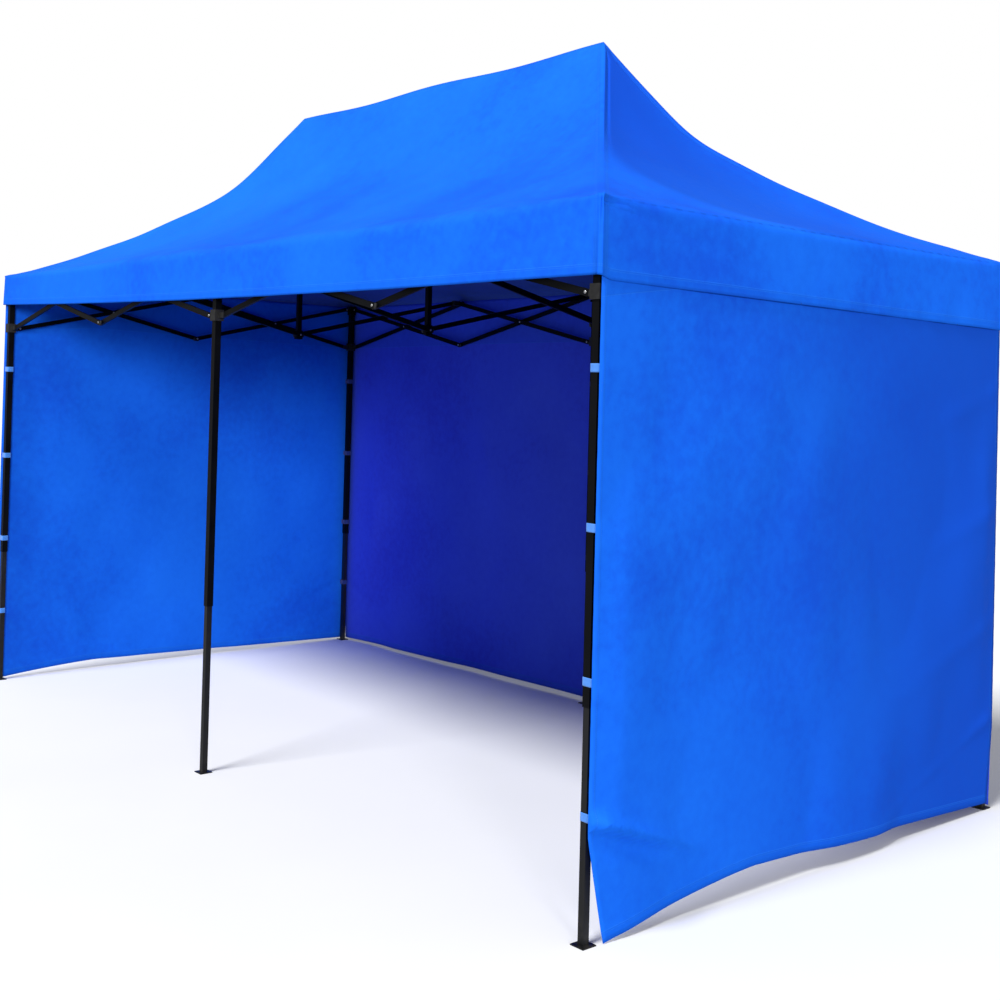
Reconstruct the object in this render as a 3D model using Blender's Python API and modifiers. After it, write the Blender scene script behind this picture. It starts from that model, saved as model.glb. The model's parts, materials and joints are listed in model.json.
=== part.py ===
"""Pop-up gazebo: six telescoping legs joined by folding scissor trusses, three masts under a hipped
canopy with a valance, and three hung walls. Metres, +Z up, origin on the ground under the middle of
the plan, +X along the long open front, +Y from the front to the back wall.

Each moving piece hangs on an empty on its joint's axis. The empty holds the joint's axis, its range
and, for a hinge of the folding linkage, its turn per unit of the first hinge's turn."""

import math

import bmesh
import bpy
from mathutils import Matrix, Vector

# Plan and heights
LENGTH = 4.8
DEPTH = 2.4
UNIT = 1.2
UPPER_PIVOT_Z = 2.30
LOWER_PIVOT_Z = 2.04
GAP = 0.0003

# Legs
UPPER_TUBE = 0.030
UPPER_WALL = 0.0010
UPPER_BOTTOM_Z = 0.74
UPPER_BORE_TOP_Z = 2.31
LOWER_TUBE = 0.025
LOWER_WALL = 0.0010
LOWER_TOP_Z = 0.99
FOOT_SIDE = 0.058
FOOT_THICKNESS = 0.004
TELESCOPE_TRAVEL = 0.60

# Head and slider castings
HEAD_SIDE = 0.042
HEAD_BOTTOM_Z = 2.265
HEAD_TOP_Z = 2.325
SLIDER_SIDE = 0.044
SLIDER_HEIGHT = 0.050
SLIDER_CLEARANCE = 0.0006
LUG_REACH = 0.050
LUG_THICKNESS = 0.006
LUG_END = 0.012
LUG_HEIGHT = 0.024

# Truss bars
BAR_WIDTH = 0.024
BAR_THICKNESS = 0.012
BAR_WALL = 0.0010
BAR_END = 0.014
BAR_OFFSET = 0.0075
CROSS_OFFSET = 0.0190
PIN_RADIUS = 0.004
PIN_PROUD = 0.0015
ROUND_SIDES = 8
CUT_PAST = 0.01
LUG_ROOT = 0.003
LUG_PIN_ROOT = 0.001
BAR_PIN_ROOT = 0.0004
SPAN = UNIT - LUG_REACH
RISE = UPPER_PIVOT_Z - LOWER_PIVOT_Z
BAR_LENGTH = math.hypot(SPAN, RISE)
REST_TILT = math.atan2(RISE, SPAN)
FOLD_DEGREES = 70.0

# Masts and the brackets that carry the cross trusses
MAST_TUBE = 0.025
MAST_WALL = 0.0010
MAST_TOP_Z = 3.215
CAP_SIDE = 0.034
CAP_TOP_SIDE = 0.010
CAP_TOP_Z = 3.262
HUB_HEIGHT = 0.050
BRACKET_HALF_HEIGHT = 0.015
BRACKET_END = 0.012
BRACKET_PIN_ROOT = 0.006
BRACKET_PIN_EXTRA = 0.012
BRACKET_BORE_START = 0.010
BRACKET_BORE_DEPTH = 0.014
HUB_HALF_DEPTH = 0.020
HUB_PIN_ROOT = 0.0008
MAST_FOOT_INSET = 0.002
MAST_CAP_LAP = 0.005

# Canopy and walls
CANOPY_OVERHANG = 0.035
EAVE_Z = 2.340
VALANCE_Z = 2.070
RIDGE_Z = 3.290
RIDGE_HALF = 1.2
ROOF_LOW_SLOPE = 0.42
ROOF_LOW_BEND = 0.38
ROOF_TOP_SLOPE = 1.98
ROOF_BLEND = 0.030
ROOF_RINGS = 10
LONG_SEGMENTS = 12
SHORT_SEGMENTS = 6
CLOTH = 0.0008
WALL_OVERHANG = 0.0316
WALL_BOTTOM_Z = 0.012
WALL_TOP_Z = 2.320
WALL_CORNER_GAP = 0.0020

LEG_LINES = {"left": -LENGTH / 2, "middle": 0.0, "right": LENGTH / 2}
SIDE_LINES = {"front": -DEPTH / 2, "back": DEPTH / 2}
TRUSS_LINES = {"left": -UNIT, "middle": 0.0, "right": UNIT}
X = Vector((1, 0, 0))
Y = Vector((0, 1, 0))
Z = Vector((0, 0, 1))

FRAME_COLOR = (0.018, 0.018, 0.021)
CASTING_COLOR = (0.022, 0.022, 0.024)
FOOT_COLOR = (0.030, 0.030, 0.033)
FABRIC_COLOR = (0.018, 0.150, 0.800)


def clear_scene():
    for obj in list(bpy.data.objects):
        bpy.data.objects.remove(obj, do_unlink=True)


def make_collection(name):
    found = bpy.data.collections.new(name)
    bpy.context.scene.collection.children.link(found)
    return found


def make_material(name, color, roughness, metallic):
    made = bpy.data.materials.new(name)
    made.use_nodes = True
    shader = made.node_tree.nodes["Principled BSDF"]
    shader.inputs["Base Color"].default_value = (*color, 1.0)
    shader.inputs["Roughness"].default_value = roughness
    shader.inputs["Metallic"].default_value = metallic
    return made


def link_mesh(name, bm, collection):
    mesh = bpy.data.meshes.new(name)
    bmesh.ops.recalc_face_normals(bm, faces=bm.faces)
    bm.to_mesh(mesh)
    bm.free()
    obj = bpy.data.objects.new(name, mesh)
    collection.objects.link(obj)
    return obj


def add_box(low, high):
    """A box between two corners, as a bmesh."""
    low, high = Vector(low), Vector(high)
    bm = bmesh.new()
    size = high - low
    place = Matrix.Translation((low + high) / 2) @ Matrix.Diagonal((*size, 1.0))
    bmesh.ops.create_cube(bm, size=1.0, matrix=place)
    return bm


def add_rod(start, end, radius):
    """A rod of ROUND_SIDES sides between two points, as a bmesh."""
    start, end = Vector(start), Vector(end)
    along = end - start
    turn = Z.rotation_difference(along).to_matrix().to_4x4()
    bm = bmesh.new()
    bmesh.ops.create_cone(
        bm,
        cap_ends=True,
        segments=ROUND_SIDES,
        radius1=radius,
        radius2=radius,
        depth=along.length,
        matrix=Matrix.Translation((start + end) / 2) @ turn,
    )
    return bm


def bore_radius(pin_radius):
    """The corner radius of a bore whose flats clear a turning pin."""
    return (pin_radius + GAP) / math.cos(math.pi / ROUND_SIDES)


def combine(name, base, joined, cut):
    """The base with the joined shapes added and then the cut shapes taken away, as one mesh."""
    body = link_mesh(name, base, cutters)
    helpers = []
    for operation, shapes in (("UNION", joined), ("DIFFERENCE", cut)):
        for shape in shapes:
            helper = link_mesh(name + "_tool", shape, cutters)
            helper.hide_render = True
            helper.display_type = "WIRE"
            step = body.modifiers.new(operation.title(), "BOOLEAN")
            step.operation = operation
            step.object = helper
            helpers.append(helper)
    graph = bpy.context.evaluated_depsgraph_get()
    mesh = bpy.data.meshes.new_from_object(body.evaluated_get(graph))
    mesh.name = name
    for obj in [body, *helpers]:
        bpy.data.objects.remove(obj, do_unlink=True)
    return mesh


def add_joint(name, parent, place, axis, kind, low, high, turn=1.0):
    """An empty on a joint's axis, which holds the joint's axis and range and its share of the fold."""
    joint = bpy.data.objects.new("joint_" + name, None)
    joint.empty_display_size = 0.05
    parts.objects.link(joint)
    joint.parent = parent
    start = parent["place"] if parent else (0.0, 0.0, 0.0)
    joint.location = Vector(place) - Vector(start)
    joint["place"] = tuple(place)
    joint["axis"] = tuple(axis)
    joint["kind"] = kind
    joint["low"] = low
    joint["high"] = high
    joint["turn"] = turn
    return joint


def add_fold_joint(name, parent, place, axis, turn):
    """A hinge of the folding linkage, whose range is its share of the whole fold."""
    reach = turn * FOLD_DEGREES
    return add_joint(name, parent, place, axis, "hinge", min(0.0, reach), max(0.0, reach), turn)


def add_piece(name, mesh, material, joint, place=(0.0, 0.0, 0.0), turn=None):
    """A piece in world coordinates, parented to its joint's empty."""
    obj = bpy.data.objects.new(name, mesh)
    parts.objects.link(obj)
    obj.parent = joint
    if turn:
        obj.rotation_euler = turn.to_euler()
    obj.location = Vector(place) - Vector(joint["place"])
    if not mesh.materials:
        mesh.materials.append(material)
    return obj


def side_normal(along):
    """The level direction square to a truss, in which its bars are set side by side."""
    return Y if along == X else X


def lug_shapes(foot, along, inward, side, offset):
    """A lug beside its bar's plane and the pin that the bar turns on.
    foot is the point on the leg's axis, side is the bar's side of the truss line."""
    normal = side_normal(along)
    pivot = foot + inward * along * LUG_REACH
    near = offset - BAR_THICKNESS / 2 - GAP
    far = near - LUG_THICKNESS
    corners = [
        foot + inward * along * (HEAD_SIDE / 2 - LUG_ROOT) + side * near * normal,
        pivot + inward * along * LUG_END + side * far * normal,
    ]
    low = [min(c[i] for c in corners) for i in range(3)]
    high = [max(c[i] for c in corners) for i in range(3)]
    low[2] -= LUG_HEIGHT / 2
    high[2] += LUG_HEIGHT / 2
    tip = offset + BAR_THICKNESS / 2 + PIN_PROUD
    pin_start = pivot + side * (far + LUG_PIN_ROOT) * normal
    pin = add_rod(pin_start, pivot + side * tip * normal, PIN_RADIUS)
    return [add_box(low, high), pin]


def lugs_of(column, row):
    """Each lug of a leg as its truss direction, the way it points and its bar's side, for the head
    (upper) and the slider (lower)."""
    found = []
    if column != "right":
        found.append((X, 1, {"upper": -1, "lower": 1}, BAR_OFFSET))
    if column != "left":
        found.append((X, -1, {"upper": 1, "lower": -1}, BAR_OFFSET))
    if column == "middle":
        found.append((Y, 1 if row == "front" else -1, {"upper": 1 if row == "front" else -1}, CROSS_OFFSET))
    elif row == "front":
        found.append((Y, 1, {"upper": -1, "lower": 1}, BAR_OFFSET))
    else:
        found.append((Y, -1, {"upper": 1, "lower": -1}, BAR_OFFSET))
    return found


def square_box(x, y, side, low_z, high_z):
    half = side / 2
    return add_box((x - half, y - half, low_z), (x + half, y + half, high_z))


def upper_leg_mesh(column, row):
    """A square tube, open below, with the cast head that carries the upper ends of the bars."""
    x, y = LEG_LINES[column], SIDE_LINES[row]
    base = square_box(x, y, UPPER_TUBE, UPPER_BOTTOM_Z, UPPER_PIVOT_Z)
    joined = [square_box(x, y, HEAD_SIDE, HEAD_BOTTOM_Z, HEAD_TOP_Z)]
    for along, inward, sides, offset in lugs_of(column, row):
        foot = Vector((x, y, UPPER_PIVOT_Z))
        joined += lug_shapes(foot, along, inward, sides["upper"], offset)
    bore = UPPER_TUBE - 2 * UPPER_WALL
    cut = [square_box(x, y, bore, UPPER_BOTTOM_Z - CUT_PAST, UPPER_BORE_TOP_Z)]
    return combine("upper_leg", base, joined, cut)


def lower_leg_mesh(column, row):
    """The tube that slides in the upper leg, with its foot plate."""
    x, y = LEG_LINES[column], SIDE_LINES[row]
    base = square_box(x, y, LOWER_TUBE, FOOT_THICKNESS / 2, LOWER_TOP_Z)
    joined = [square_box(x, y, FOOT_SIDE, 0.0, FOOT_THICKNESS)]
    bore = LOWER_TUBE - 2 * LOWER_WALL
    cut = [square_box(x, y, bore, FOOT_THICKNESS, LOWER_TOP_Z + CUT_PAST)]
    return combine("lower_leg", base, joined, cut)


def slider_mesh(column, row):
    """The block that slides on the upper leg and carries the lower ends of the bars."""
    x, y = LEG_LINES[column], SIDE_LINES[row]
    low_z = LOWER_PIVOT_Z - SLIDER_HEIGHT / 2
    high_z = LOWER_PIVOT_Z + SLIDER_HEIGHT / 2
    base = square_box(x, y, SLIDER_SIDE, low_z, high_z)
    joined = []
    for along, inward, sides, offset in lugs_of(column, row):
        if "lower" in sides:
            foot = Vector((x, y, LOWER_PIVOT_Z))
            joined += lug_shapes(foot, along, inward, sides["lower"], offset)
    bore = UPPER_TUBE + 2 * SLIDER_CLEARANCE
    cut = [square_box(x, y, bore, low_z - CUT_PAST, high_z + CUT_PAST)]
    return combine("slider", base, joined, cut)


def bar_mesh(name, pins, holes):
    """A flat tube along X through its two end pivots, open at its ends. pins are (place, tip) with
    the tip's reach past the middle of the bar, and holes are the places of the cross bores."""
    half = BAR_LENGTH / 2 + BAR_END
    thick = BAR_THICKNESS / 2
    wide = BAR_WIDTH / 2
    base = add_box((-half, -thick, -wide), (half, thick, wide))
    inner = (half + CUT_PAST, thick - BAR_WALL, wide - BAR_WALL)
    hollow = add_box([-v for v in inner], inner)
    tube = combine(name, base, [], [hollow])
    body = bmesh.new()
    body.from_mesh(tube)
    joined = []
    for place, tip in pins:
        start = math.copysign(thick - BAR_PIN_ROOT, -tip)
        joined.append(add_rod((place, start, 0), (place, tip, 0), PIN_RADIUS))
    cut = []
    reach = thick + CUT_PAST
    for place in holes:
        cut.append(add_rod((place, -reach, 0), (place, reach, 0), bore_radius(PIN_RADIUS)))
    mesh = combine(name, body, joined, cut)
    bpy.data.meshes.remove(tube)
    return mesh


def bar_turn(along, falling):
    """The rest turn of a bar: its length along the truss, its thickness along the side normal."""
    tilt = REST_TILT if falling else -REST_TILT
    if along == X:
        return Matrix.Rotation(tilt, 3, "Y")
    lean = Matrix.Rotation(-tilt, 3, "X")
    return lean @ Matrix(((0, 1, 0), (1, 0, 0), (0, 0, -1)))


def fold_axis(along):
    """The axis about which a positive turn drops the far end of a bar."""
    return Y if along == X else -X


class Truss:
    """A row of scissor units along one side, worked out from its line and its first boundary."""

    def __init__(self, name, along, start, units):
        self.name = name
        self.along = along
        self.start = start
        self.units = units

    def boundary(self, index):
        return self.start + index * UNIT * self.along

    def has_leg(self, index):
        return index % 2 == 0

    def pivot(self, index, z, inward):
        """The bar's pivot near a boundary: on the leg's lug, or on the boundary at a junction."""
        reach = LUG_REACH if self.has_leg(index) else 0.0
        place = self.boundary(index) + inward * reach * self.along
        return Vector((place.x, place.y, z))

    def unit_span(self, unit):
        """The upper left and upper right pivots of a unit, and its middle."""
        left = self.pivot(unit, UPPER_PIVOT_Z, 1)
        right = self.pivot(unit + 1, UPPER_PIVOT_Z, -1)
        middle = (left + right) / 2
        middle.z = (UPPER_PIVOT_Z + LOWER_PIVOT_Z) / 2
        return left, right, middle

    def bar_name(self, unit, falling):
        return f"{self.name}_bar_{unit + 1}_{'falling' if falling else 'rising'}"

    def bar_patterns(self, unit, falling):
        """The pins and the holes of one bar along its own length. At a leg the bar has a hole, and the
        lug has the pin. At a junction one of the two bars has the pin: the falling one, or the rising
        one at the back's upper junctions, where the pin also carries a bracket further in."""
        half = BAR_LENGTH / 2
        past = BAR_OFFSET * 2 + BAR_THICKNESS / 2 + PIN_PROUD
        pins, holes = [], []
        for end, boundary in ((-1, unit), (1, unit + 1)):
            upper = (end == -1) == falling
            pin_on_falling = not (upper and self.name == "back")
            if self.has_leg(boundary) or falling != pin_on_falling:
                holes.append(end * half)
                continue
            carries_bracket = upper and self.name in SIDE_LINES
            reach = past + BRACKET_PIN_EXTRA if carries_bracket else past
            pins.append((end * half, reach if falling else -reach))
        if falling:
            pins.append((0.0, past))
        else:
            holes.append(0.0)
        return pins, holes

    def add_bar(self, unit, falling, parent, place, turn):
        name = self.bar_name(unit, falling)
        pins, holes = self.bar_patterns(unit, falling)
        mesh = bar_mesh(name, pins, holes)
        joint = add_fold_joint(name, parent, place, fold_axis(self.along), turn)
        offset = (-BAR_OFFSET if falling else BAR_OFFSET) * side_normal(self.along)
        middle = self.unit_span(unit)[2] + offset
        add_piece(name, mesh, frame_paint, joint, middle, bar_turn(self.along, falling))
        return joint

    def build_from(self, index, direction, anchor, share):
        """Bars from the boundary at index, one unit after another. anchor is the joint empty of the
        piece that the first bar hangs on, and share is that piece's turn per unit of fold.
        Returns {boundary: (its upper bar's empty, that bar's share, lower carrier, its share)}."""
        reached = {}
        while 0 <= index + direction <= self.units:
            unit = index if direction > 0 else index - 1
            left, right, middle = self.unit_span(unit)
            first_falling = direction > 0
            first_share = 1.0 if first_falling else -1.0
            near = left if direction > 0 else right
            first = self.add_bar(unit, first_falling, anchor, near, first_share - share)
            second = self.add_bar(unit, not first_falling, first, middle, -2 * first_share)
            reached.setdefault(index, (None, 0.0, second, -first_share))
            index += direction
            reached[index] = (second, -first_share, first, first_share)
            anchor, share = second, -first_share
        return reached


def add_leg(column, row, parent, share, pivot):
    """The upper leg on its joint, and the lower leg that slides in it."""
    key = f"{row}_{column}"
    x, y = LEG_LINES[column], SIDE_LINES[row]
    if parent:
        along = Y if abs(pivot.x - x) < 1e-6 or column == "middle" else X
        joint = add_fold_joint("upper_leg_" + key, parent, pivot, fold_axis(along), -share)
    else:
        joint = add_joint("upper_leg_" + key, None, (x, y, UPPER_PIVOT_Z), Z, "root", 0.0, 0.0)
    add_piece("upper_leg_" + key, upper_leg_mesh(column, row), frame_paint, joint)
    slide = add_joint(
        "lower_leg_" + key, joint, (x, y, UPPER_BOTTOM_Z), Z, "slide", 0.0, TELESCOPE_TRAVEL
    )
    add_piece("lower_leg_" + key, lower_leg_mesh(column, row), foot_paint, slide)
    return joint


def add_slider(column, row, carrier, share, pivot, along):
    key = f"slider_{row}_{column}"
    joint = add_fold_joint(key, carrier, pivot, fold_axis(along), -share)
    add_piece(key, slider_mesh(column, row), casting, joint)


def add_bracket(column, row, carrier, share):
    """The block at an upper junction of a long side, which carries a cross truss's bar."""
    x, y = TRUSS_LINES[column], SIDE_LINES[row]
    inward = 1 if row == "front" else -1
    face = CROSS_OFFSET - BAR_THICKNESS / 2 - GAP
    near = y + inward * (BAR_OFFSET + BAR_THICKNESS / 2 + GAP)
    far = y + inward * (LUG_REACH + BRACKET_END)
    low = (x - face, min(near, far), UPPER_PIVOT_Z - BRACKET_HALF_HEIGHT)
    high = (x + face, max(near, far), UPPER_PIVOT_Z + BRACKET_HALF_HEIGHT)
    place = Vector((x, y, UPPER_PIVOT_Z))
    pivot = place + inward * LUG_REACH * Y
    tip = CROSS_OFFSET + BAR_THICKNESS / 2 + PIN_PROUD
    pin = add_rod(pivot + inward * BRACKET_PIN_ROOT * X, pivot + inward * tip * X, PIN_RADIUS)
    bore = add_rod(
        place + inward * BRACKET_BORE_START * Y,
        place + inward * (BAR_OFFSET + BAR_THICKNESS / 2 + BRACKET_BORE_DEPTH) * Y,
        bore_radius(PIN_RADIUS),
    )
    mesh = combine("bracket", add_box(low, high), [pin], [bore])
    key = f"bracket_{row}_{column}"
    joint = add_fold_joint(key, carrier, place, fold_axis(X), -share)
    add_piece(key, mesh, casting, joint)
    return joint


def mast_mesh(x):
    """A square tube from the hub up to the cap under the ridge, open below."""
    half = CROSS_OFFSET - BAR_THICKNESS / 2 - GAP
    low_z = LOWER_PIVOT_Z - HUB_HEIGHT / 2
    high_z = LOWER_PIVOT_Z + HUB_HEIGHT / 2
    base = square_box(x, 0.0, MAST_TUBE, low_z + MAST_FOOT_INSET, MAST_TOP_Z + MAST_CAP_LAP)
    hub = add_box((x - half, -HUB_HALF_DEPTH, low_z), (x + half, HUB_HALF_DEPTH, high_z))
    tip = CROSS_OFFSET + BAR_THICKNESS / 2 + PIN_PROUD
    pins = []
    for side in (-1, 1):
        start = Vector((x + side * (half - HUB_PIN_ROOT), 0.0, LOWER_PIVOT_Z))
        pins.append(add_rod(start, Vector((x + side * tip, 0.0, LOWER_PIVOT_Z)), PIN_RADIUS))
    cap = bmesh.new()
    bmesh.ops.create_cone(
        cap,
        cap_ends=True,
        segments=4,
        radius1=CAP_SIDE / math.sqrt(2),
        radius2=CAP_TOP_SIDE / math.sqrt(2),
        depth=CAP_TOP_Z - MAST_TOP_Z,
        matrix=Matrix.Translation((x, 0.0, (CAP_TOP_Z + MAST_TOP_Z) / 2))
        @ Matrix.Rotation(math.pi / 4, 4, "Z"),
    )
    bore = MAST_TUBE - 2 * MAST_WALL
    cut = [square_box(x, 0.0, bore, low_z - CUT_PAST, MAST_TOP_Z)]
    return combine("mast", base, [hub, *pins, cap], cut)


def add_cross_bar(column, row, parent, share, place):
    """A bar of a cross truss, from a long side's upper pivot down to the mast's hub."""
    x = TRUSS_LINES[column]
    falling = row == "front"
    half = BAR_LENGTH / 2
    name = f"cross_bar_{column}_{row}"
    mesh = bar_mesh(name, [], [-half, half])
    own_share = 1.0 if falling else -1.0
    joint = add_fold_joint(name, parent, place, fold_axis(Y), own_share - share)
    side = 1 if row == "front" else -1
    middle_y = side * -SPAN / 2
    middle = Vector((x, middle_y, (UPPER_PIVOT_Z + LOWER_PIVOT_Z) / 2))
    middle += side * CROSS_OFFSET * X
    add_piece(name, mesh, frame_paint, joint, middle, bar_turn(Y, falling))
    return joint, own_share


def add_cross_truss(column, carrier):
    """The front bar on its bracket or head, the mast, and the back bar. Returns the back bar."""
    x = TRUSS_LINES[column]
    upper = Vector((x, SIDE_LINES["front"] + LUG_REACH, UPPER_PIVOT_Z))
    hub = Vector((x, 0.0, LOWER_PIVOT_Z))
    front, share = add_cross_bar(column, "front", carrier, 0.0, upper)
    mast = add_fold_joint("mast_" + column, front, hub, fold_axis(Y), -share)
    add_piece("mast_" + column, mast_mesh(x), frame_paint, mast)
    back, share = add_cross_bar(column, "back", mast, 0.0, hub)
    return mast, back, share


def roof_rise(inset):
    """The roof's height between eave (0) and ridge (1): a slack lower slope, which bends upwards,
    joined by a soft corner to the straight, steep slope under the mast tops."""
    slack = ROOF_LOW_SLOPE * inset + ROOF_LOW_BEND * inset * inset
    steep = 1.0 - ROOF_TOP_SLOPE * (1.0 - inset)
    return slack + ROOF_BLEND * math.log1p(math.exp((steep - slack) / ROOF_BLEND))


def canopy_ring(inset, z):
    """Points round the canopy at one inset from the eave (0) to the ridge (1)."""
    half_x = LENGTH / 2 + CANOPY_OVERHANG
    half_y = DEPTH / 2 + CANOPY_OVERHANG
    half_x += (RIDGE_HALF - half_x) * inset
    half_y -= half_y * inset
    points = []
    for i in range(LONG_SEGMENTS):
        points.append((half_x * (2 * i / LONG_SEGMENTS - 1), -half_y, z))
    for i in range(SHORT_SEGMENTS):
        points.append((half_x, half_y * (2 * i / SHORT_SEGMENTS - 1), z))
    return points + [(-px, -py, pz) for px, py, pz in points]


def canopy_mesh():
    """An open sheet from the valance's hem to the ridge; Solidify gives it its thickness."""
    bm = bmesh.new()
    foot, top = roof_rise(0.0), roof_rise(1.0)
    rings = [canopy_ring(0.0, VALANCE_Z)]
    for ring in range(ROOF_RINGS + 1):
        inset = ring / ROOF_RINGS
        lift = (RIDGE_Z - EAVE_Z) * (roof_rise(inset) - foot) / (top - foot)
        rings.append(canopy_ring(inset, EAVE_Z + lift))
    rows = [[bm.verts.new(point) for point in ring] for ring in rings]
    for low, high in zip(rows, rows[1:]):
        count = len(low)
        for i in range(count):
            j = (i + 1) % count
            bm.faces.new((low[i], low[j], high[j], high[i]))
    bmesh.ops.remove_doubles(bm, verts=bm.verts, dist=0.0001)
    bmesh.ops.dissolve_degenerate(bm, edges=bm.edges, dist=0.0001)
    mesh = bpy.data.meshes.new("canopy")
    bm.to_mesh(mesh)
    bm.free()
    return mesh


def add_canopy(joint):
    canopy = add_piece("canopy", canopy_mesh(), fabric, joint)
    shell = canopy.modifiers.new("Thickness", "SOLIDIFY")
    shell.thickness = CLOTH
    shell.offset = -1.0
    shell.use_even_offset = True


def add_wall(name, low, high, joint):
    mesh = bpy.data.meshes.new(name)
    bm = add_box(low, high)
    bm.to_mesh(mesh)
    bm.free()
    add_piece(name, mesh, fabric, joint)


def build():
    front_line = Vector((-LENGTH / 2, SIDE_LINES["front"], 0.0))
    back_line = Vector((-LENGTH / 2, SIDE_LINES["back"], 0.0))
    front = Truss("front", X, front_line, 4)
    back = Truss("back", X, back_line, 4)
    columns = {0: "left", 2: "middle", 4: "right"}
    junctions = {1: "left", 3: "right"}

    def hang_line(truss, root):
        """Legs, sliders and junction pieces on a long side, from its middle leg both ways."""
        legs = {"middle": root}
        brackets = {}
        for direction in (1, -1):
            reached = truss.build_from(2, direction, root, 0.0)
            for index, (upper, upper_share, lower, lower_share) in reached.items():
                inward = -direction if index != 2 else direction
                if index in junctions:
                    column = junctions[index]
                    brackets[column] = add_bracket(column, truss.name, upper, upper_share)
                    continue
                column = columns[index]
                if upper:
                    pivot = truss.pivot(index, UPPER_PIVOT_Z, inward)
                    legs[column] = add_leg(column, truss.name, upper, upper_share, pivot)
                if upper or direction > 0:
                    pivot = truss.pivot(index, LOWER_PIVOT_Z, inward)
                    add_slider(column, truss.name, lower, lower_share, pivot, X)
        return legs, brackets

    root = add_leg("middle", "front", None, 0.0, None)
    front_legs, front_brackets = hang_line(front, root)
    carriers = {"left": front_brackets["left"], "middle": root, "right": front_brackets["right"]}
    masts = {}
    for column, carrier in carriers.items():
        masts[column], cross_back, share = add_cross_truss(column, carrier)
        if column == "middle":
            pivot = Vector((0.0, SIDE_LINES["back"] - LUG_REACH, UPPER_PIVOT_Z))
            back_middle = add_leg("middle", "back", cross_back, share, pivot)
    hang_line(back, back_middle)
    for column in ("left", "right"):
        line = Vector((LEG_LINES[column], SIDE_LINES["front"], 0.0))
        side = Truss(column, Y, line, 2)
        side.build_from(0, 1, front_legs[column], 0.0)

    add_canopy(masts["middle"])
    out_x = LENGTH / 2 + WALL_OVERHANG
    out_y = DEPTH / 2 + WALL_OVERHANG
    half_y = out_y - WALL_CORNER_GAP
    for column, sign in (("left", -1), ("right", 1)):
        faces = sorted((sign * (out_x - CLOTH / 2), sign * (out_x + CLOTH / 2)))
        low = (faces[0], -half_y, WALL_BOTTOM_Z)
        high = (faces[1], half_y, WALL_TOP_Z)
        add_wall(f"wall_{column}", low, high, front_legs[column])
    low = (-out_x + CLOTH, out_y - CLOTH / 2, WALL_BOTTOM_Z)
    high = (out_x - CLOTH, out_y + CLOTH / 2, WALL_TOP_Z)
    add_wall("wall_back", low, high, back_middle)


clear_scene()
parts = make_collection("pop_up_gazebo")
cutters = make_collection("cutters")
frame_paint = make_material("frame_paint", FRAME_COLOR, 0.38, 0.6)
foot_paint = make_material("foot_paint", FOOT_COLOR, 0.45, 0.6)
casting = make_material("casting", CASTING_COLOR, 0.55, 0.0)
fabric = make_material("fabric", FABRIC_COLOR, 0.8, 0.0)
build()
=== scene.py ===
"""The looks of the pop-up gazebo: canopy, walls, straps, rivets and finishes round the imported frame."""
import json
import math

import bmesh
import bpy
import numpy as np
from mathutils import Matrix, Vector


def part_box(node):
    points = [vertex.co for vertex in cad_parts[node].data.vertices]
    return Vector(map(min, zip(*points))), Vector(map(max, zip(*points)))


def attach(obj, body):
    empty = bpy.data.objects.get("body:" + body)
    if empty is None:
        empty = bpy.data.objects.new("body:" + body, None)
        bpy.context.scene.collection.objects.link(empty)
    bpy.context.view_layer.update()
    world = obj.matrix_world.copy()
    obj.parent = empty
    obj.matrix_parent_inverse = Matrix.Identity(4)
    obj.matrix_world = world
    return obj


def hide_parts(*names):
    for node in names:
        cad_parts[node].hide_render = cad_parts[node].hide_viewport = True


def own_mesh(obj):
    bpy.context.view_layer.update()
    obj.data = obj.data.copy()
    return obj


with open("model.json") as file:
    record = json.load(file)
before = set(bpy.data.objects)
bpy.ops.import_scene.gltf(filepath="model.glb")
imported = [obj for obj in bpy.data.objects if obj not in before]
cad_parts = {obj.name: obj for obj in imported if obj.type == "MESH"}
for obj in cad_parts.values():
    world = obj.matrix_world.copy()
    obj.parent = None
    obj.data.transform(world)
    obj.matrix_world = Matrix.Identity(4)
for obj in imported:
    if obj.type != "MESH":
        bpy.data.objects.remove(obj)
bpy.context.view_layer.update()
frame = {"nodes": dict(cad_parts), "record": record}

# ---------------------------------------------------------------- sizes, read from the frame

NODE = frame["nodes"]
CANOPY_LOW, CANOPY_HIGH = (np.array(corner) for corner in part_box("canopy"))
EAVE_HALF_X, EAVE_HALF_Y = CANOPY_HIGH[0], CANOPY_HIGH[1]
HEM_Z, RIDGE_Z = CANOPY_LOW[2], CANOPY_HIGH[2]
VALANCE = 0.27
EAVE_Z = HEM_Z + VALANCE
RIDGE_HALF = 1.2
X_AXIS = np.array((1.0, 0.0, 0.0))
Y_AXIS = np.array((0.0, 1.0, 0.0))
LEG_X, LEG_Y = 2.4, 1.2
TUBE = 0.030
CLOTH = 0.0008
STRAP_HEIGHTS = (1.80, 1.30, 0.82, 0.40)
LOWER_TUBE = 0.025
UPPER_LEG_FOOT = 0.74


# ---------------------------------------------------------------- mesh helpers

def grid_faces(columns, rows, closed):
    """Quads between neighbouring columns and rows, wrapping round from the last column if closed."""
    last = columns if closed else columns - 1
    i, j = np.meshgrid(np.arange(last), np.arange(rows - 1), indexing="ij")
    k = (i + 1) % columns
    quads = np.stack([i * rows + j, k * rows + j, k * rows + j + 1, i * rows + j + 1], axis=-1)
    return quads.reshape(-1, 4)


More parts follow.
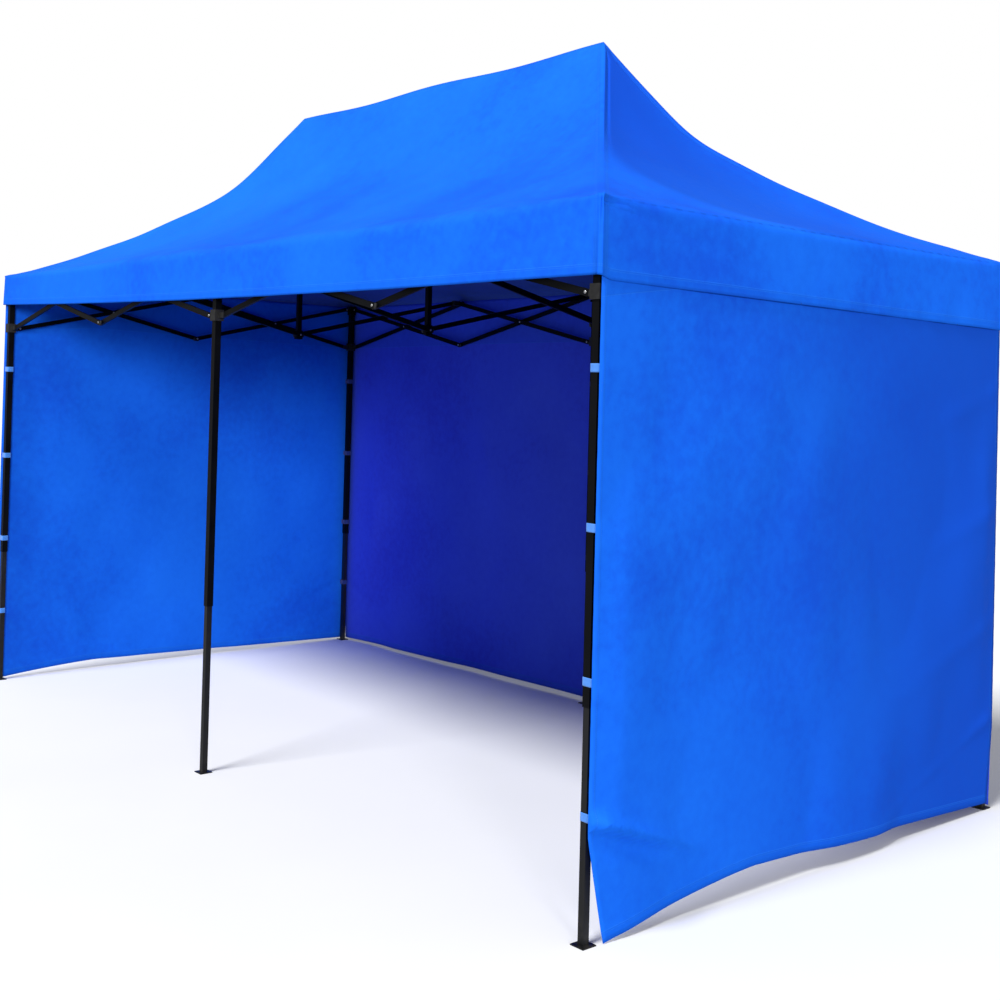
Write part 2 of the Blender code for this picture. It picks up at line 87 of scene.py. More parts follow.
def surface(name, points, uv, closed=False, values=None, flip=False):
    """A mesh from a grid of points (columns, rows, 3), with a UV map in metres and float attributes.
    A closed grid gets one more UV column, so that the map runs on without a break."""
    columns, rows = points.shape[:2]
    faces = grid_faces(columns, rows, closed)
    if flip:
        faces = faces[:, ::-1]
    mesh = bpy.data.meshes.new(name)
    mesh.vertices.add(columns * rows)
    mesh.vertices.foreach_set("co", points.reshape(-1).astype(np.float32))
    mesh.loops.add(faces.size)
    mesh.loops.foreach_set("vertex_index", faces.reshape(-1).astype(np.int32))
    mesh.polygons.add(len(faces))
    mesh.polygons.foreach_set("loop_start", np.arange(0, faces.size, 4, dtype=np.int32))
    mesh.update(calc_edges=True)
    layer = mesh.uv_layers.new(name="cloth")
    corner = faces.reshape(-1)
    corner_uv = uv.reshape(-1, 2)[corner].copy()
    if closed:
        length = uv[-1, 0, 0] + (uv[-1, 0, 0] - uv[-2, 0, 0])
        quad_u = corner_uv[:, 0].reshape(-1, 4)
        wrapped = np.ptp(quad_u, axis=1) > length / 2
        quad_u[wrapped] = np.where(quad_u[wrapped] < length / 2, quad_u[wrapped] + length, quad_u[wrapped])
        corner_uv[:, 0] = quad_u.reshape(-1)
    layer.data.foreach_set("uv", corner_uv.reshape(-1).astype(np.float32))
    for key, value in (values or {}).items():
        attribute = mesh.attributes.new(key, "FLOAT", "POINT")
        attribute.data.foreach_set("value", value.reshape(-1).astype(np.float32))
    mesh.shade_smooth()
    return new_object(name, mesh)


def new_object(name, mesh):
    obj = bpy.data.objects.new(name, mesh)
    bpy.context.scene.collection.objects.link(obj)
    return obj


def thicken(obj, thickness, offset=-1.0, inner_material=0):
    """Gives a sheet its thickness, with a closed rim. The inner face may take a later material slot."""
    shell = obj.modifiers.new("thickness", "SOLIDIFY")
    shell.material_offset = inner_material
    shell.thickness = thickness
    shell.offset = offset
    shell.use_rim = True
    apply_modifiers(obj)


def apply_modifiers(obj):
    graph = bpy.context.evaluated_depsgraph_get()
    mesh = bpy.data.meshes.new_from_object(obj.evaluated_get(graph), depsgraph=graph)
    old = obj.data
    obj.modifiers.clear()
    obj.data = mesh
    bpy.data.meshes.remove(old)


def joined(name, pieces):
    """One mesh object from (vertices, faces, material index, smooth) parts."""
    vertices, faces, kinds, smooth = [], [], [], []
    start = 0
    for points, part_faces, kind, soft in pieces:
        vertices.append(np.asarray(points, float))
        faces += [tuple(int(v) + start for v in face) for face in part_faces]
        kinds += [kind] * len(part_faces)
        smooth += [soft] * len(part_faces)
        start += len(points)
    mesh = bpy.data.meshes.new(name)
    mesh.from_pydata(np.concatenate(vertices).tolist(), [], faces)
    mesh.polygons.foreach_set("material_index", np.array(kinds, np.int32))
    mesh.polygons.foreach_set("use_smooth", np.array(smooth, bool))
    mesh.update()
    return new_object(name, mesh)


def turned(profile, sides):
    """A closed turned solid about +Z from (radius, height) pairs, from its foot on the axis to its top
    on the axis."""
    turn = np.linspace(0, 2 * np.pi, sides, endpoint=False)
    circle = np.column_stack([np.cos(turn), np.sin(turn), np.zeros(sides)])
    rings = [circle * radius + (0, 0, height) for radius, height in profile[1:-1]]
    points = np.concatenate([[(0, 0, profile[0][1])], *rings, [(0, 0, profile[-1][1])]])
    return points, capped_faces(sides, len(rings))


def capped_faces(sides, count):
    """Faces over a foot point, count rings of sides points each and a top point: a fan, bands of quads
    and another fan."""
    faces = []
    top = 1 + (count - 1) * sides
    for i in range(sides):
        j = (i + 1) % sides
        faces.append((0, 1 + j, 1 + i))
        for band in range(count - 1):
            low, high = 1 + band * sides, 1 + (band + 1) * sides
            faces.append((low + i, low + j, high + j, high + i))
        faces.append((top + i, top + j, top + sides))
    return faces


def placed(part, origin, axis):
    """A turned solid with its +Z along axis and its foot at origin."""
    points, faces = part
    turn = np.array(Vector((0, 0, 1)).rotation_difference(Vector(axis)).to_matrix())
    return np.asarray(points) @ turn.T + np.asarray(origin), faces


# ---------------------------------------------------------------- canopy

LONG_COLUMNS = 146
SHORT_COLUMNS = 74
ARC_COLUMNS = 7
VALANCE_ROWS = 24
ROOF_ROWS = 76
CORNER_RADIUS = 0.012
EAVE_REACH = 7.0
EAVE_ROUNDS = 10
CORNER_GROOVE = 0.008
CORNER_CREASE = 0.009
VALANCE_LEAN, VALANCE_RIPPLE = 0.011, 0.0022
ROOF_SAG, RIDGE_DIP = 0.030, 0.014
BROAD_SLACK, FINE_SLACK, CORNER_PLEAT = 0.0110, 0.0028, 0.0040
RIDGE_GAP, CLOTH_GAP = 0.004, 0.002
HIP_TUCK, SEAM_PROUD = 0.014, 0.0030
GATHER, LONG_GATHER = 0.062, 0.151
GATHER_DEPTH, SEAM_SET_IN = 0.0022, 0.0040
SHADE_MIDDLE = 0.14
SHADE_LEAN = 1.43
SHADE_SOFT = 0.30
LOW_SLOPE, LOW_BEND, TOP_SLOPE, SOFT_CORNER = 0.42, 0.38, 1.98, 0.030


def roof_rise(inset):
    """The roof's height from eave (0) to ridge (1): a slack lower slope that bends upwards, joined by a
    soft corner to the steep, straight slope under the masts."""
    slack = LOW_SLOPE * inset + LOW_BEND * inset**2
    steep = 1 - TOP_SLOPE * (1 - inset)
    raw = slack + SOFT_CORNER * np.log1p(np.exp((steep - slack) / SOFT_CORNER))
    low = SOFT_CORNER * np.log1p(np.exp((1 - TOP_SLOPE) / SOFT_CORNER))
    return (raw - low) / (1 - low)


def perimeter():
    """For each column round the canopy: its side (0 front, 1 right, 2 back, 3 left), its place along the
    straight stretch (-1 to 1), and its turn round the corner that ends that side (0 on the stretch)."""
    side, along, turn = [], [], []
    for number in range(4):
        count = LONG_COLUMNS if number % 2 == 0 else SHORT_COLUMNS
        stretch = np.linspace(-1, 1, count)
        side += [number] * (count + ARC_COLUMNS)
        along += list(stretch) + [1.0] * ARC_COLUMNS
        turn += [0.0] * count + list(np.linspace(0, np.pi / 2, ARC_COLUMNS + 2)[1:-1])
    return np.array(side), np.array(along), np.array(turn)


def ring(half_x, half_y, radius, side, along, turn):
    """Points of a rectangle with rounded corners, and the outward direction at each: each side is
    worked out as the front one, from its own half sizes, and then turned by its number of quarters."""
    long_side = side % 2 == 0
    reach = np.where(long_side, half_x, half_y)
    depth = np.where(long_side, half_y, half_x)
    x = (reach - radius) * along + radius * np.sin(turn)
    y = -depth + radius * (1 - np.cos(turn))
    out_x, out_y = np.sin(turn), -np.cos(turn)
    quarter = side * np.pi / 2
    c, s = np.cos(quarter), np.sin(quarter)
    place = np.stack([c * x - s * y, s * x + c * y], axis=-1)
    outward = np.stack([c * out_x - s * out_y, s * out_x + c * out_y], axis=-1)
    return place, outward


def waves(u, v, seed, count, longest, shortest, upright=1.0):
    """Soft creases: a sum of level sine waves, each of its own length and direction, divided by the
    root of their number. upright over 1 turns the crests towards the second direction."""
    dice = np.random.default_rng(seed)
    total = np.zeros_like(u)
    for _ in range(count):
        length = dice.uniform(shortest, longest)
        heading = dice.uniform(-1.0, 1.0) / upright
        phase = dice.uniform(0, 2 * np.pi)
        total += np.sin(2 * np.pi / length * (u * np.cos(heading) + v * np.sin(heading)) + phase)
    return total / math.sqrt(count)


def hem_height(x, y):
    """The valance's hem: it rides up towards the front left corner, along the open front and along the
    left side, and falls a little along the right side towards the back."""
    front = 0.020 + 0.085 * ((EAVE_HALF_X - x) / (2 * EAVE_HALF_X)) ** 2
    right = 0.006 - 0.026 * (y + EAVE_HALF_Y) / (2 * EAVE_HALF_Y)
    on_front = np.clip((-y - EAVE_HALF_Y + 0.05) / 0.05, 0, 1)
    on_right = np.clip((x - EAVE_HALF_X + 0.05) / 0.05, 0, 1) * (1 - on_front)
    on_left = np.clip((-x - EAVE_HALF_X + 0.05) / 0.05, 0, 1) * (1 - on_front)
    left = 0.105 * np.clip((EAVE_HALF_Y - y) / (2 * EAVE_HALF_Y), 0, 1) ** 1.5
    return HEM_Z + on_front * front + on_right * right + on_left * left


def canopy_points():
    """Rows run from the hem up the valance to the eave and on over the roof to the ridge. On the roof a
    row is a ring at one inset, and its height is the roof's rise. Seams stand a little proud, and slack
    is a sum of soft waves that fades towards the edges."""
    side, along, turn = perimeter()
    columns = len(side)
    rows = VALANCE_ROWS + ROOF_ROWS
    points = np.zeros((columns, rows, 3))
    uv = np.zeros((columns, rows, 2))
    hip = np.zeros((columns, rows))
    inset_of = np.zeros((columns, rows))
    shade = np.zeros((columns, rows))
    eave, outward = ring(EAVE_HALF_X, EAVE_HALF_Y, CORNER_RADIUS, side, along, turn)
    steps = np.linalg.norm(np.diff(eave, axis=0, prepend=eave[-1:]), axis=1)
    around = np.cumsum(steps)
    long_side = side % 2 == 0
    reach = np.where(long_side, EAVE_HALF_X, EAVE_HALF_Y)
    hem = hem_height(eave[:, 0], eave[:, 1])
    slack = waves(around, around * 0, 3, 7, 1.5, 0.55)
    slack = np.clip(0.5 + 0.5 * slack, 0, 1.3) * (1 - np.abs(along) ** 8)
    for row in range(VALANCE_ROWS):
        up = row / VALANCE_ROWS
        drop = 1 - up
        z = hem + (EAVE_Z - hem) * up
        lean = VALANCE_LEAN * slack * drop**1.5 + 0.002 * drop
        ripple = VALANCE_RIPPLE * drop * waves(around, z, 11, 6, 0.45, 0.18, 2.0)
        ripple = ripple * (1 - np.abs(along) ** 6)
        fold = np.where(turn > 0, 0.003 * drop, 0)
        fold -= CORNER_GROOVE * np.exp(-(((turn - np.pi / 4) / 0.22) ** 2)) * np.exp(-((drop / 0.40) ** 2))
        from_corner = (along + 1) * reach
        crease = drop * (EAVE_Z - hem) - 0.012 - 0.20 * from_corner
        fold -= CORNER_CREASE * np.exp(-((crease / 0.014) ** 2)) * np.exp(-from_corner / 0.30) * (side == 1)
        push = lean + ripple + fold
        points[:, row, :2] = eave + outward * push[:, None]
        points[:, row, 2] = z
        uv[:, row] = np.column_stack([around, z - hem])
        hip[:, row] = reach * (1 - np.abs(along)) * (turn == 0)
    insets = np.linspace(0, 1, ROOF_ROWS) ** 0.92
    travelled = np.zeros(columns)
    before = None
    for index, inset in enumerate(insets):
        row = VALANCE_ROWS + index
        half_x = EAVE_HALF_X + (RIDGE_HALF - EAVE_HALF_X) * inset
        half_y = EAVE_HALF_Y * (1 - inset)
        radius = min(CORNER_RADIUS, half_y * 0.5)
        flat, outward = ring(half_x, half_y, radius, side, along, turn)
        z = np.full(columns, EAVE_Z + (RIDGE_Z - RIDGE_GAP - EAVE_Z) * roof_rise(inset))
        fade = np.clip(inset / 0.12, 0, 1) * np.clip((1 - inset) / 0.10, 0, 1)
        middle = 1 - np.abs(along) ** 4
        z -= ROOF_SAG * fade * middle * np.sin(np.pi * inset)
        between_masts = np.sin(np.pi * flat[:, 0] / RIDGE_HALF) ** 2 * (np.abs(flat[:, 0]) < RIDGE_HALF)
        z -= RIDGE_DIP * inset**6 * between_masts
        z += BROAD_SLACK * fade * middle * waves(flat[:, 0] * 0.7, flat[:, 1], 21, 9, 1.7, 0.7)
        z += FINE_SLACK * fade * waves(flat[:, 0], flat[:, 1], 5, 12, 0.6, 0.25)
        corner = np.hypot(EAVE_HALF_X - np.abs(flat[:, 0]), EAVE_HALF_Y - np.abs(flat[:, 1]))
        bearing = np.arctan2(EAVE_HALF_Y - np.abs(flat[:, 1]), EAVE_HALF_X - np.abs(flat[:, 0]) + 1e-6)
        z += CORNER_PLEAT * np.exp(-corner / 0.45) * np.clip(corner / 0.08, 0, 1) * np.sin(bearing * 15)
        points[:, row, :2] = flat + outward * CLOTH_GAP
        points[:, row, 2] = z
        if before is not None:
            travelled = travelled + np.linalg.norm(points[:, row] - before, axis=1)
        before = points[:, row].copy()
        uv[:, row] = np.column_stack([around, EAVE_Z - hem + travelled])
        local = np.where(long_side, half_x, half_y)
        hip[:, row] = local * (1 - np.abs(along)) * (turn == 0)
        inset_of[:, row] = inset
        shade[:, row] = end_shade(side, along, inset)
    soften_eave(points, side, along)
    ends = (side % 2 == 1)[:, None] * (1 - np.abs(along) ** 10)[:, None] * np.ones((1, rows))
    rows_up = np.arange(rows) - VALANCE_ROWS
    seam = np.exp(-((rows_up / 1.6) ** 2))[None, :] * ends
    gathers = np.sin(2 * np.pi * around / GATHER + 2 * np.sin(around * 7))
    gathers = gathers + 0.6 * np.sin(2 * np.pi * around / LONG_GATHER)
    push = GATHER_DEPTH * seam * gathers[:, None] - SEAM_SET_IN * seam
    points[..., 0] += push * np.sign(points[..., 0])
    tuck = np.exp(-(((hip - 0.020) / 0.008) ** 2)) * np.clip((inset_of - 0.45) / 0.35, 0, 1)
    points[..., 2] -= HIP_TUCK * tuck * (side % 2 == 1)[:, None] * (inset_of < 0.97)
    proud = SEAM_PROUD * np.exp(-(hip / 0.005) ** 2)
    points[:, VALANCE_ROWS:, 2] += proud[:, VALANCE_ROWS:] * (inset_of[:, VALANCE_ROWS:] < 0.995)
    from_eave = uv[..., 1] - (EAVE_Z - hem)[:, None]
    return points, uv, {"hip": hip, "eave": from_eave, "end": ends, "shade": shade}


def end_shade(side, along, inset):
    """How much painted shade, a darker colour standing in for shade, an end slope shows: none in front of a
    line that runs from the front hip, six tenths of the way up, down to the middle of the eave. Behind that
    line, past a soft step, it is a share that grows with the height and fades towards the back end of the
    eave."""
    back = np.where(side == 1, along, -along)
    line = back + SHADE_MIDDLE + SHADE_LEAN * inset
    soft = np.clip(line / SHADE_SOFT + 0.5, 0, 1)
    fade = np.clip(1 - 1.1 * (back - 0.1) * (1 - inset), 0, 1)
    return soft * soft * (3 - 2 * soft) * fade * (side % 2 == 1) * (0.50 + 0.46 * inset)


def soften_eave(points, side, along):
    """Rounds the eave: each point near it moves again and again half way to the middle of the points
    above and below it, by a weight that is a bell curve over the rows and fades towards the corners."""
    rows = np.arange(points.shape[1])
    bell = np.exp(-(((rows - VALANCE_ROWS) / EAVE_REACH) ** 2))
    soft = np.where(side % 2 == 0, 1.0, 0.35) * (1 - np.abs(along) ** 6)
    weight = (0.5 * soft[:, None] * bell[None, :])[:, 1:-1, None]
    for _ in range(EAVE_ROUNDS):
        middle = (points[:, :-2] + points[:, 2:]) / 2
        points[:, 1:-1] += weight * (middle - points[:, 1:-1])


def make_canopy():
    points, uv, values = canopy_points()
    canopy = surface("canopy_cloth", points, uv, closed=True, values=values)
    canopy.data.materials.append(cloth_material("canopy_oxford", "roof", OUTSIDE))
    # The underside takes a darker copy of the cloth: painted shade.
    canopy.data.materials.append(cloth_material("canopy_lining", "roof", ROOF_UNDERSIDE_PAINTED_SHADE))
    thicken(canopy, CLOTH, -1.0, 1)
    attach(canopy, "upper_leg_front_middle")
    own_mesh(canopy)
    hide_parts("canopy")


# ---------------------------------------------------------------- walls

WALL_ROWS = 130
HEM_BAND = 0.035
WALL_WRAP = 0.0225
LOOSE_BELOW = 0.35
HEADER_SEAM = 2.02
WALL_ROOM = 0.006
WALL_SOFT = 0.0025
BROAD_WAVE, FINE_WAVE, HEM_RIPPLE = 0.0150, 0.0036, 0.006
STRAP_PULL, EDGE_PUCKER, HEM_PROUD = 0.0075, 0.0010, 0.0012


def wall_points(length, top, columns, seed, hem, edge_swing, billow, creases):
    """A wall in its own plane: s along it, z up and d out of its plane. The hem is a curve, and the two
    side edges swing in below the last strap. The cloth's depth is a few soft waves and a broad billow,
    which fade towards the straps, the top and the edges."""
    s = np.linspace(0, 1, columns)[:, None] * np.ones((1, WALL_ROWS))
    up = np.linspace(0, 1, WALL_ROWS)[None, :] * np.ones((columns, 1))
    low = hem(s)
    z = low + (top - low) * up
    slack_near = np.clip((LOOSE_BELOW - z) / LOOSE_BELOW, 0, 1) ** 1.05
    along = length * s
    along += edge_swing * slack_near * (1 - s) ** 6
    along -= edge_swing * slack_near * s**6 * 0.5
    edges = np.clip(s / 0.05, 0, 1) * np.clip((1 - s) / 0.05, 0, 1)
    height = np.clip((top - 0.25 - z) / 0.6, 0, 1)
    clear = np.clip(np.abs(s - 0.5) / 0.05, 0, 1) if length > 3 else 1.0
    depth = billow * np.sin(np.pi * s) * np.sin(np.pi * np.clip(z / top, 0, 1)) * height
    free = edges * height * clear
    depth = depth + BROAD_WAVE * free * waves(along, z, seed, 6, 1.7, 0.8, 1.0)
    depth = depth + FINE_WAVE * free * waves(along, z, seed + 1, 9, 0.6, 0.28, 1.4)
    for end in (0, 1):
        reach = length * np.abs(s - end)
        for strap in STRAP_HEIGHTS:
            rise = z - strap + (0.55 if end == 0 else 0.35) * reach
            pull = STRAP_PULL * np.exp(-reach / 0.40) * np.exp(-((rise / 0.045) ** 2))
            depth = depth + pull * np.clip(reach / 0.04, 0, 1) * clear
        crease = z - STRAP_HEIGHTS[-1] + 0.38 * reach
        fold = np.exp(-((crease / 0.027) ** 2)) - 0.8 * np.exp(-(((crease + 0.05) / 0.035) ** 2))
        fold = creases[end] * np.exp(-reach / 0.70) * np.clip(reach / 0.05, 0, 1) * fold
        depth = depth + fold * clear
    loose = np.clip((0.30 - z) / 0.30, 0, 1)
    gentle = np.clip(s / 0.35, 0, 1)
    depth = depth + HEM_RIPPLE * loose * edges * gentle * waves(along, z * 0, seed + 2, 5, 1.3, 0.6)
    pucker = np.exp(-((np.minimum(s, 1 - s) * length / 0.035) ** 2)) * np.clip(z / LOOSE_BELOW, 0, 1)
    depth = depth + EDGE_PUCKER * pucker * np.sin(2 * np.pi * z / 0.085 + np.sin(9 * z))
    from_end = np.minimum(s, 1 - s) * length
    room = WALL_ROOM * np.clip((z - 0.66) / 0.10, 0, 1) * np.clip((from_end - 0.22) / 0.10, 0, 1)
    depth = -room + WALL_SOFT * np.logaddexp(0, (depth + room) / WALL_SOFT) - WALL_SOFT * math.log(2)
    depth = depth + HEM_PROUD * (z - low < HEM_BAND)
    return along, z, np.maximum(depth, -room)


def wall_hem(near, top, peak, far):
    """A hem height along a wall: it climbs steeply from the near end and levels off at the peak, as one
    minus a power of what is left, and then falls evenly to the far end."""
    def height(s):
        left = np.clip(1 - s / peak, 0, 1)
        climb = near + (top - near) * (1 - left**1.45)
        return climb - (top - far) * np.clip((s - peak) / (1 - peak), 0, 1)
    return height


def make_wall(name, job):
    """A wall hung between legs. It follows one leg."""
    low, high = (np.array(corner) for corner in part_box(name))
    length, direction, outward = job["length"], job["direction"], job["outward"]
    top = high[2] - 0.001
    along, z, depth = wall_points(
        length, top, job["columns"], job["seed"], wall_hem(*job["hem"]),
        job["swing"], job["billow"], job["creases"],
    )
    points = job["start"][None, None, :] + along[..., None] * direction + depth[..., None] * outward
    points[..., 2] = z
    uv = np.stack([along, z - z[:, :1]], axis=-1)
    facing = np.cross(direction, (0, 0, 1)) @ outward > 0
    edge = np.minimum(along, length - along)
    # Painted shade: the cloth darkens towards the wall's far end by the job's share of it; only the right
    # wall has one.
    far = np.clip((along / length - 0.15) / 0.75, 0, 1)
    shade = job["painted_shade"] * far * far * (3 - 2 * far)
    wall = surface(name + "_cloth", points, uv, values={"edge": edge, "shade": shade}, flip=not facing)
    wall.data.materials.append(cloth_material(name + "_oxford", "wall", OUTSIDE))
    # The inside face: the same cloth on the side walls, and a violet copy standing in for shade, painted
    # shade, on the back wall.
    wall.data.materials.append(cloth_material(name + "_lining", "wall", job["inside"]))
    thicken(wall, CLOTH, 0.0, 1)
    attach(wall, job["leg"])
    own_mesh(wall)
    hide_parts(name)


def make_walls():
    """The two side walls start at the front legs and the back wall at the left one. A hem is its height
    at the near end, at its peak, the peak's place along the wall, and its height at the far end."""
    side_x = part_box("wall_right")[1][0] - CLOTH
    back_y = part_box("wall_back")[1][1] - CLOTH
    side_length = 2 * (LEG_Y + WALL_WRAP)
    back_length = 2 * (LEG_X + WALL_WRAP)
    right = {
        "start": np.array((side_x, -side_length / 2, 0.0)),
        "direction": Y_AXIS,
        "outward": X_AXIS,
        "length": side_length,
        "columns": 110,
        "seed": 31,
        "hem": (0.002, 0.090, 0.34, 0.030),
        "swing": 0.078,
        "billow": 0.006,
        "creases": (0.042, 0.008),
        # painted shade on the far half of the right wall
        "painted_shade": 0.85,
        "leg": "upper_leg_front_right",
        "anchor": (LEG_X, -LEG_Y, 0),
        "inside": OUTSIDE,
    }
    left = {
        **right,
        "start": np.array((-side_x, -side_length / 2, 0.0)),
        "outward": -X_AXIS,
        "seed": 47,
        "hem": (0.004, 0.048, 0.25, 0.012),
        "swing": 0.040,
        "billow": 0.010,
        "creases": (0.012, 0.008),
        "painted_shade": 0.0,
        "leg": "upper_leg_front_left",
        "anchor": (-LEG_X, -LEG_Y, 0),
    }
    back = {
        "start": np.array((-back_length / 2, back_y, 0.0)),
        "direction": X_AXIS,
        "outward": Y_AXIS,
        "length": back_length,
        "columns": 190,
        "seed": 59,
        "hem": (0.012, 0.026, 0.4, 0.010),
        "swing": 0.012,
        "billow": 0.012,
        "creases": (0.005, 0.005),
        "painted_shade": 0.0,
        "leg": "upper_leg_back_middle",
        "anchor": (0, LEG_Y, 0),
        # painted shade: a violet copy of the cloth on the back wall's inside
        "inside": BACK_INSIDE_PAINTED_SHADE,
    }
    make_wall("wall_right", right)
    make_wall("wall_left", left)
    make_wall("wall_back", back)


# ---------------------------------------------------------------- straps on the legs

STRAP_WIDTH = 0.028
STRAP_THICKNESS = 0.0016
STRAP_SET_BACK = 0.0038
STRAP_SAG = 0.0006
STRAP_GAP = 0.0012
STRAP_CORNER = 0.004
STRAP_ARC = 6
FACE_ROWS, BACK_ROWS = 9, 5


def strap_loop(centre, outward, reach, z):
    """A webbing loop round a leg and out to the wall: a rounded rectangle in plan, carried up by the
    strap's width. The band's section is a flat rounded one, slightly hollow between its edges."""
    tube = TUBE if z > UPPER_LEG_FOOT else LOWER_TUBE
    inner = tube / 2 + STRAP_GAP
    out = np.asarray(outward, float)
    across = np.array((-out[1], out[0]))
    corners = np.array([(-inner, -inner), (reach, -inner), (reach, inner), (-inner, inner)])
    centres = corners - np.sign(corners) * STRAP_CORNER
    angle = np.radians(np.array([-180, -90, 0, 90])[:, None] + np.linspace(0, 90, STRAP_ARC)[None, :])
    facing = np.stack([np.cos(angle), np.sin(angle)], axis=-1).reshape(-1, 2)
    path = np.repeat(centres, STRAP_ARC, axis=0) + STRAP_CORNER * facing
    face, back = np.linspace(-1, 1, FACE_ROWS), np.linspace(1, -1, BACK_ROWS)
    crowned = STRAP_THICKNESS * (1 - 0.35 * face**8) - 0.0002 * (1 - face**2)
    grow = np.concatenate([crowned, np.zeros(BACK_ROWS)])
    rise = np.concatenate([face, back]) * STRAP_WIDTH / 2
    rings, sections = len(path), len(grow)
    sag = STRAP_SAG * np.sin(np.linspace(0, 4 * np.pi, rings))
    plan = path[:, None, :] + facing[:, None, :] * grow[None, :, None]
    points = np.zeros((rings, sections, 3))
    points[..., :2] = centre + plan[..., :1] * out + plan[..., 1:] * across
    points[..., 2] = z + rise[None, :] + sag[:, None]
    i, k = np.meshgrid(np.arange(rings), np.arange(sections), indexing="ij")
    j, m = (i + 1) % rings, (k + 1) % sections
    faces = np.stack([i * sections + k, j * sections + k, j * sections + m, i * sections + m], axis=-1)
    return points.reshape(-1, 3), faces.reshape(-1, 4)


def make_straps():
    light = webbing_material("strap_webbing", (0.030, 0.20, 0.72), (0.075, 0.30, 0.90))
    # Painted shade: a darker copy of the webbing for the straps on the back legs.
    webbing_painted_shade = webbing_material("strap_webbing_painted_shade", (0.003, 0.018, 0.16), (0.005, 0.030, 0.24))
    side_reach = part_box("wall_right")[1][0] - LEG_X - STRAP_SET_BACK
    back_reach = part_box("wall_back")[1][1] - LEG_Y - STRAP_SET_BACK
    jobs = []
    for column, sign in (("left", -1), ("right", 1)):
        for row, y in (("front", -LEG_Y), ("back", LEG_Y)):
            name = f"straps_side_{row}_{column}"
            jobs.append((name, (sign * LEG_X, y), (sign, 0), side_reach, row, column))
    jobs.append(("straps_back_middle", (0.0, LEG_Y), (0, 1), back_reach, "back", "middle"))
    for name, centre, outward, reach, row, column in jobs:
        parts = [(*strap_loop(centre, outward, reach, z), 0, True) for z in STRAP_HEIGHTS]
        straps = joined(name, parts)
        fix_normals(straps)
        # The straps on the back legs take the darker copy: painted shade.
        straps.data.materials.append(light if row == "front" else webbing_painted_shade)
        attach(straps, f"upper_leg_{row}_{column}")


def fix_normals(obj):
    """Turns every face outwards on closed parts."""
    bm = bmesh.new()
    bm.from_mesh(obj.data)
    bmesh.ops.recalc_face_normals(bm, faces=bm.faces)
    bm.to_mesh(obj.data)
    bm.free()


# ---------------------------------------------------------------- rivets and plugs

RIVET = [
    (0, 0),
    (0.0060, 0),
    (0.0060, 0.0009),
    (0.0053, 0.0021),
    (0.0037, 0.0030),
    (0.0017, 0.0035),
    (0, 0.0036),
]
RIVET_SIDES = 14
RIVET_REACH = 0.0055
PLUG_SIDES = 20
PLUG_RINGS = 6
PLUG_SQUARENESS = 0.35
PLUG_SHARE_OF_TURN = 0.94
PLUG_LENGTH = 0.0085
PLUG_INSET = 0.0002
PLUG_GAP, RIVET_GAP = 0.0003, 0.0002
BAR_SAMPLE = 0.03
BAR_THICKNESS = 0.012
BAR_WIDTH = 0.024
BAR_END = 0.014


def vertices_of(node):
    """A node's vertices as an array of points."""
    mesh = NODE[node].data
    points = np.empty(len(mesh.vertices) * 3, np.float32)
    mesh.vertices.foreach_get("co", points)
    return points.reshape(-1, 3).astype(float)


def bar_frame(points):
    """A bar's middle, the direction from its one end to its other, and the level direction square to
    it. Each end is the mean of the vertices near it."""
    low, high = points.min(axis=0), points.max(axis=0)
    size = high - low
    flat = 0 if size[0] > size[1] else 1
    left = points[points[:, flat] < low[flat] + BAR_SAMPLE].mean(axis=0)
    right = points[points[:, flat] > high[flat] - BAR_SAMPLE].mean(axis=0)
    direction = right - left
    normal = np.zeros(3)
    normal[1 - flat] = 1.0
    direction[1 - flat] = 0.0
    direction /= np.linalg.norm(direction)
    return (low + high) / 2, direction, normal


def plug(direction, normal, width, thickness, length):
    """A rounded plug in a tube's end: sections of a rounded rectangle that shrink along a quarter
    circle. Worked out in the bar's own directions, from its foot at the tube's end."""
    upward = np.cross(direction, normal)
    turn = np.linspace(0, 2 * np.pi, PLUG_SIDES, endpoint=False)
    a = np.sign(np.cos(turn)) * np.abs(np.cos(turn)) ** PLUG_SQUARENESS
    b = np.sign(np.sin(turn)) * np.abs(np.sin(turn)) ** PLUG_SQUARENESS
    rings = []
    for angle in np.linspace(0, np.pi / 2 * PLUG_SHARE_OF_TURN, PLUG_RINGS):
        shrink = math.cos(angle) * 0.5 + 0.5
        forward = math.sin(angle) * length
        ringed = (
            np.outer(a * thickness / 2 * shrink, normal)
            + np.outer(b * width / 2 * shrink, upward)
            + direction * forward
        )
        rings.append(ringed)
    points = np.concatenate([[np.zeros(3)], *rings, [direction * length]])
    return points, capped_faces(len(turn), len(rings))


